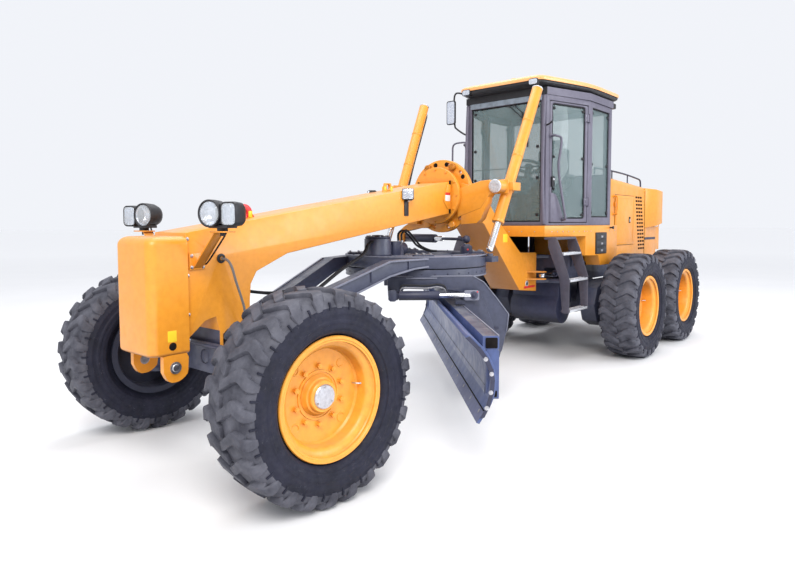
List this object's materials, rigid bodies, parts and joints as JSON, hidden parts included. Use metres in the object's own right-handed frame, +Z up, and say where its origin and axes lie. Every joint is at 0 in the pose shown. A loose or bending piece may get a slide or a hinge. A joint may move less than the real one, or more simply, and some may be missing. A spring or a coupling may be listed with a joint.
{
  "type": "motor grader",
  "caption": "Articulated motor grader with an arched front frame, a turning circle and curved blade, leaning front wheels, tandem rear wheels, a cab over the pivot and a rear engine hood",
  "frame": {"origin": "Bottom centre of the whole machine's box, on the ground. The machine's own centre plane is at x = -0.242 m, because the blade sticks out further on the left.", "axes": "+X to the machine's left, -Y towards its front, +Z up."},
  "size_m": [3.1861, 9.0238, 3.412],
  "materials": {
    "body_yellow": "satin yellow-orange paint",
    "cab_grey": "dark grey paint",
    "chrome": "polished rod",
    "frame_dark": "dark slate paint",
    "glass": "tinted glass",
    "hose_black": "braided hose",
    "iron_grey": "grey painted casting",
    "lamp_black": "matt black plastic",
    "rim_yellow": "satin yellow-orange paint",
    "seat_black": "black woven fabric",
    "tyre": "matt black rubber",
    "worn_steel": "worn steel"
  },
  "bodies": {
    "rear_frame": {"rear_chassis": "body_yellow", "tandem_cases": "body_yellow", "drivetrain": "iron_grey", "engine_block": "iron_grey", "cab_platform": "frame_dark", "cab_frame": "cab_grey", "cab_roof": "body_yellow", "cab_windows": "glass", "operator_seat": "seat_black", "hood": "body_yellow", "rear_cowl": "body_yellow"},
    "front_frame": {"front_frame": "body_yellow", "nose_box": "body_yellow", "saddle": "body_yellow", "lamps": "lamp_black", "brake_hose": "hose_black", "front_axle": "frame_dark"},
    "articulation_barrel_left": {"articulation_barrel_left": "body_yellow"},
    "articulation_rod_left": {"articulation_rod_left": "chrome"},
    "articulation_barrel_right": {"articulation_barrel_right": "body_yellow"},
    "articulation_rod_right": {"articulation_rod_right": "chrome"},
    "lean_left": {"lean_bracket_left": "frame_dark"},
    "lean_right": {"lean_bracket_right": "frame_dark"},
    "lean_bar": {"lean_bar": "frame_dark"},
    "knuckle_left": {"knuckle_left": "frame_dark"},
    "knuckle_right": {"knuckle_right": "frame_dark"},
    "tie_rod_end": {"tie_rod_end": "frame_dark"},
    "tie_rod": {"tie_rod": "frame_dark"},
    "front_wheel_left": {"tyre_front_left": "tyre", "rim_front_left": "rim_yellow"},
    "front_wheel_right": {"tyre_front_right": "tyre", "rim_front_right": "rim_yellow"},
    "mid_wheel_left": {"tyre_mid_left": "tyre", "rim_mid_left": "rim_yellow"},
    "mid_wheel_right": {"tyre_mid_right": "tyre", "rim_mid_right": "rim_yellow"},
    "rear_wheel_left": {"tyre_rear_left": "tyre", "rim_rear_left": "rim_yellow"},
    "rear_wheel_right": {"tyre_rear_right": "tyre", "rim_rear_right": "rim_yellow"},
    "drawbar_ball": {"drawbar_ball": "worn_steel"},
    "drawbar": {"drawbar": "frame_dark"},
    "circle": {"circle": "frame_dark"},
    "blade_brackets": {"blade_brackets": "frame_dark"},
    "moldboard": {"moldboard": "frame_dark"},
    "pitch_barrel": {"pitch_barrel": "frame_dark"},
    "pitch_rod": {"pitch_rod": "chrome"},
    "lift_yoke_left": {"lift_yoke_left": "frame_dark"},
    "lift_barrel_left": {"lift_barrel_left": "body_yellow"},
    "lift_rod_left": {"lift_rod_left": "chrome"},
    "lift_yoke_right": {"lift_yoke_right": "frame_dark"},
    "lift_barrel_right": {"lift_barrel_right": "body_yellow"},
    "lift_rod_right": {"lift_rod_right": "chrome"},
    "shift_barrel": {"shift_barrel": "frame_dark"},
    "shift_rod": {"shift_rod": "chrome"},
    "shift_rod_eye": {"shift_rod_eye": "chrome"},
    "cab_door_left": {"cab_door_left": "cab_grey"},
    "hood_door_left": {"hood_door_left": "body_yellow"},
    "cab_door_right": {"cab_door_right": "cab_grey"},
    "hood_door_right": {"hood_door_right": "body_yellow"}
  },
  "joints": [
    {"name": "articulation", "type": "hinge", "parent": "rear_frame", "child": "front_frame", "pos_m": [-0.2416, 0.792, 1.115], "axis": [0, 0, -1], "range_deg": [-27, 27]},
    {"name": "articulation_barrel_left_turn", "type": "hinge", "parent": "rear_frame", "child": "articulation_barrel_left", "pos_m": [0.0584, 1.492, 1.06], "axis": [0, 0, -1], "range_deg": [-6.91, 6.91]},
    {"name": "articulation_rod_left_slide", "type": "slide", "parent": "articulation_barrel_left", "child": "articulation_rod_left", "axis": [0.0326, -0.9995, 0], "range_m": [-0.1565, 0.1565]},
    {"name": "articulation_barrel_right_turn", "type": "hinge", "parent": "rear_frame", "child": "articulation_barrel_right", "pos_m": [-0.5416, 1.492, 1.06], "axis": [0, 0, -1], "range_deg": [-6.91, 6.91]},
    {"name": "articulation_rod_right_slide", "type": "slide", "parent": "articulation_barrel_right", "child": "articulation_rod_right", "axis": [-0.0326, -0.9995, 0], "range_m": [-0.1565, 0.1565]},
    {"name": "wheel_lean", "type": "hinge", "parent": "front_frame", "child": "lean_left", "pos_m": [0.5184, -3.828, 0.6], "axis": [0, 1, 0], "range_deg": [-17, 17]},
    {"name": "wheel_lean_right", "type": "hinge", "parent": "front_frame", "child": "lean_right", "pos_m": [-1.0016, -3.828, 0.6], "axis": [0, 1, 0], "range_deg": [-17.6, 17.6]},
    {"name": "lean_bar_turn", "type": "hinge", "parent": "lean_left", "child": "lean_bar", "pos_m": [0.5184, -3.963, 0.85], "axis": [0, 1, 0], "range_deg": [-17.6, 17.6]},
    {"name": "steering", "type": "hinge", "parent": "lean_left", "child": "knuckle_left", "pos_m": [0.6284, -3.828, 0.66], "axis": [0, 0, 1], "range_deg": [-43.65, 54.35]},
    {"name": "steering_right", "type": "hinge", "parent": "lean_right", "child": "knuckle_right", "pos_m": [-1.1116, -3.828, 0.66], "axis": [0, 0, 1], "range_deg": [-44.9, 55.7]},
    {"name": "tie_rod_end_turn", "type": "hinge", "parent": "knuckle_left", "child": "tie_rod_end", "pos_m": [0.6284, -3.633, 0.5], "axis": [0, 0, 1], "range_deg": [-55.7, 44.9]},
    {"name": "tie_rod_turn", "type": "hinge", "parent": "tie_rod_end", "child": "tie_rod", "pos_m": [0.6284, -3.633, 0.58], "axis": [0, 1, 0], "range_deg": [-15.6, 15.6]},
    {"name": "front_wheel_left_spin", "type": "hinge", "parent": "knuckle_left", "child": "front_wheel_left", "pos_m": [0.83549, -3.84739, 0.657], "axis": [0.9956, -0.0932, 0], "continuous": true},
    {"name": "front_wheel_right_spin", "type": "hinge", "parent": "knuckle_right", "child": "front_wheel_right", "pos_m": [-1.31869, -3.80861, 0.657], "axis": [0.9956, -0.0932, 0], "continuous": true},
    {"name": "mid_wheel_left_spin", "type": "hinge", "parent": "rear_frame", "child": "mid_wheel_left", "pos_m": [0.8364, 1.622, 0.657], "axis": [1, 0, 0], "continuous": true},
    {"name": "mid_wheel_right_spin", "type": "hinge", "parent": "rear_frame", "child": "mid_wheel_right", "pos_m": [-1.3196, 1.622, 0.657], "axis": [1, 0, 0], "continuous": true},
    {"name": "rear_wheel_left_spin", "type": "hinge", "parent": "rear_frame", "child": "rear_wheel_left", "pos_m": [0.8364, 3.16, 0.657], "axis": [1, 0, 0], "continuous": true},
    {"name": "rear_wheel_right_spin", "type": "hinge", "parent": "rear_frame", "child": "rear_wheel_right", "pos_m": [-1.3196, 3.16, 0.657], "axis": [1, 0, 0], "continuous": true},
    {"name": "drawbar_swing", "type": "hinge", "parent": "front_frame", "child": "drawbar_ball", "pos_m": [-0.2416, -3.528, 0.9], "axis": [0, 0, -1], "range_deg": [-7.5, 7.5]},
    {"name": "blade_lift", "type": "hinge", "parent": "drawbar_ball", "child": "drawbar", "pos_m": [-0.2416, -3.528, 0.9], "axis": [1, 0, 0], "range_deg": [-24.5, 0]},
    {"name": "circle_turn", "type": "hinge", "parent": "drawbar", "child": "circle", "pos_m": [-0.2416, -1.498, 1.245], "axis": [0, 0, 1], "range_deg": [-8, 93]},
    {"name": "blade_pitch", "type": "hinge", "parent": "circle", "child": "blade_brackets", "pos_m": [0.24109, -1.04788, 0.53], "axis": [0.682, -0.7314, 0], "range_deg": [-4.5, 29]},
    {"name": "blade_side_shift", "type": "slide", "parent": "blade_brackets", "child": "moldboard", "axis": [0.682, -0.7314, 0], "range_m": [-0.7, 0.35]},
    {"name": "pitch_barrel_turn", "type": "hinge", "parent": "circle", "child": "pitch_barrel", "pos_m": [0.09022, -2.22774, 1.06], "axis": [0.682, -0.7314, 0], "range_deg": [-19.82, 3.65]},
    {"name": "pitch_rod_slide", "type": "slide", "parent": "pitch_barrel", "child": "pitch_rod", "axis": [0.7314, 0.682, 0], "range_m": [-0.211, 0.0396]},
    {"name": "lift_yoke_left_turn", "type": "hinge", "parent": "front_frame", "child": "lift_yoke_left", "pos_m": [0.4564, -0.888, 2.06], "axis": [0, 1, 0], "range_deg": [-14.07, 14.07]},
    {"name": "lift_barrel_left_turn", "type": "hinge", "parent": "lift_yoke_left", "child": "lift_barrel_left", "pos_m": [0.4564, -0.888, 2.06], "axis": [1, 0, 0], "range_deg": [-0.62, 16.54]},
    {"name": "lift_rod_left_slide", "type": "slide", "parent": "lift_barrel_left", "child": "lift_rod_left", "axis": [-0.0414, -0.429, -0.9024], "range_m": [-0.0236, 1.005]},
    {"name": "lift_yoke_right_turn", "type": "hinge", "parent": "front_frame", "child": "lift_yoke_right", "pos_m": [-0.9396, -0.888, 2.06], "axis": [0, 1, 0], "range_deg": [-14.07, 14.07]},
    {"name": "lift_barrel_right_turn", "type": "hinge", "parent": "lift_yoke_right", "child": "lift_barrel_right", "pos_m": [-0.9396, -0.888, 2.06], "axis": [1, 0, 0], "range_deg": [-0.62, 16.54]},
    {"name": "lift_rod_right_slide", "type": "slide", "parent": "lift_barrel_right", "child": "lift_rod_right", "axis": [0.0414, -0.429, -0.9024], "range_m": [-0.0236, 1.005]},
    {"name": "shift_barrel_turn", "type": "hinge", "parent": "front_frame", "child": "shift_barrel", "pos_m": [-0.8316, -0.928, 1.54], "axis": [0.2537, 0.9659, 0.0514], "range_deg": [-1.21, 46.76]},
    {"name": "shift_rod_slide", "type": "slide", "parent": "shift_barrel", "child": "shift_rod", "axis": [0.9672, -0.254, 0], "range_m": [-0.0124, 0.4306]},
    {"name": "shift_eye_slide", "type": "slide", "parent": "shift_rod", "child": "shift_rod_eye", "axis": [0.9672, -0.254, 0], "range_m": [-0.2924, 0.2924]},
    {"name": "cab_door_left_swing", "type": "hinge", "parent": "rear_frame", "child": "cab_door_left", "pos_m": [0.5187, 0.9105, 2.4], "axis": [0, 0, 1], "range_deg": [0, 100]},
    {"name": "hood_door_left_swing", "type": "hinge", "parent": "rear_frame", "child": "hood_door_left", "pos_m": [0.3204, 2.284, 1.7], "axis": [0, 0, -1], "range_deg": [0, 110]},
    {"name": "cab_door_right_swing", "type": "hinge", "parent": "rear_frame", "child": "cab_door_right", "pos_m": [-1.0019, 0.9105, 2.4], "axis": [0, 0, -1], "range_deg": [0, 100]},
    {"name": "hood_door_right_swing", "type": "hinge", "parent": "rear_frame", "child": "hood_door_right", "pos_m": [-0.8036, 2.284, 1.7], "axis": [0, 0, 1], "range_deg": [0, 110]}
  ],
  "couplings": [
    {"joint": "articulation_barrel_left_turn", "follows": "articulation", "ratio": 0.24},
    {"joint": "articulation_rod_left_slide", "follows": "articulation", "m_per_rad": 0.3173},
    {"joint": "articulation_barrel_right_turn", "follows": "articulation", "ratio": 0.24},
    {"joint": "articulation_rod_right_slide", "follows": "articulation", "m_per_rad": -0.3173},
    {"joint": "wheel_lean_right", "follows": "wheel_lean", "ratio": 1},
    {"joint": "lean_bar_turn", "follows": "wheel_lean", "ratio": -1},
    {"joint": "steering_right", "follows": "steering", "ratio": 1},
    {"joint": "tie_rod_end_turn", "follows": "steering", "ratio": -1},
    {"joint": "tie_rod_turn", "follows": "wheel_lean", "ratio": -0.876},
    {"joint": "pitch_barrel_turn", "follows": "blade_pitch", "ratio": -0.66},
    {"joint": "pitch_rod_slide", "follows": "blade_pitch", "m_per_rad": -0.401},
    {"joint": "lift_yoke_left_turn", "follows": "drawbar_swing", "ratio": -1.8},
    {"joint": "lift_barrel_left_turn", "follows": "blade_lift", "ratio": -0.65},
    {"joint": "lift_rod_left_slide", "follows": "blade_lift", "m_per_rad": -2.295},
    {"joint": "lift_yoke_right_turn", "follows": "drawbar_swing", "ratio": -1.8},
    {"joint": "lift_barrel_right_turn", "follows": "blade_lift", "ratio": -0.65},
    {"joint": "lift_rod_right_slide", "follows": "blade_lift", "m_per_rad": -2.295},
    {"joint": "shift_barrel_turn", "follows": "blade_lift", "ratio": -1.859},
    {"joint": "shift_rod_slide", "follows": "blade_lift", "m_per_rad": -0.978},
    {"joint": "shift_eye_slide", "follows": "drawbar_swing", "m_per_rad": 2.16}
  ]
}
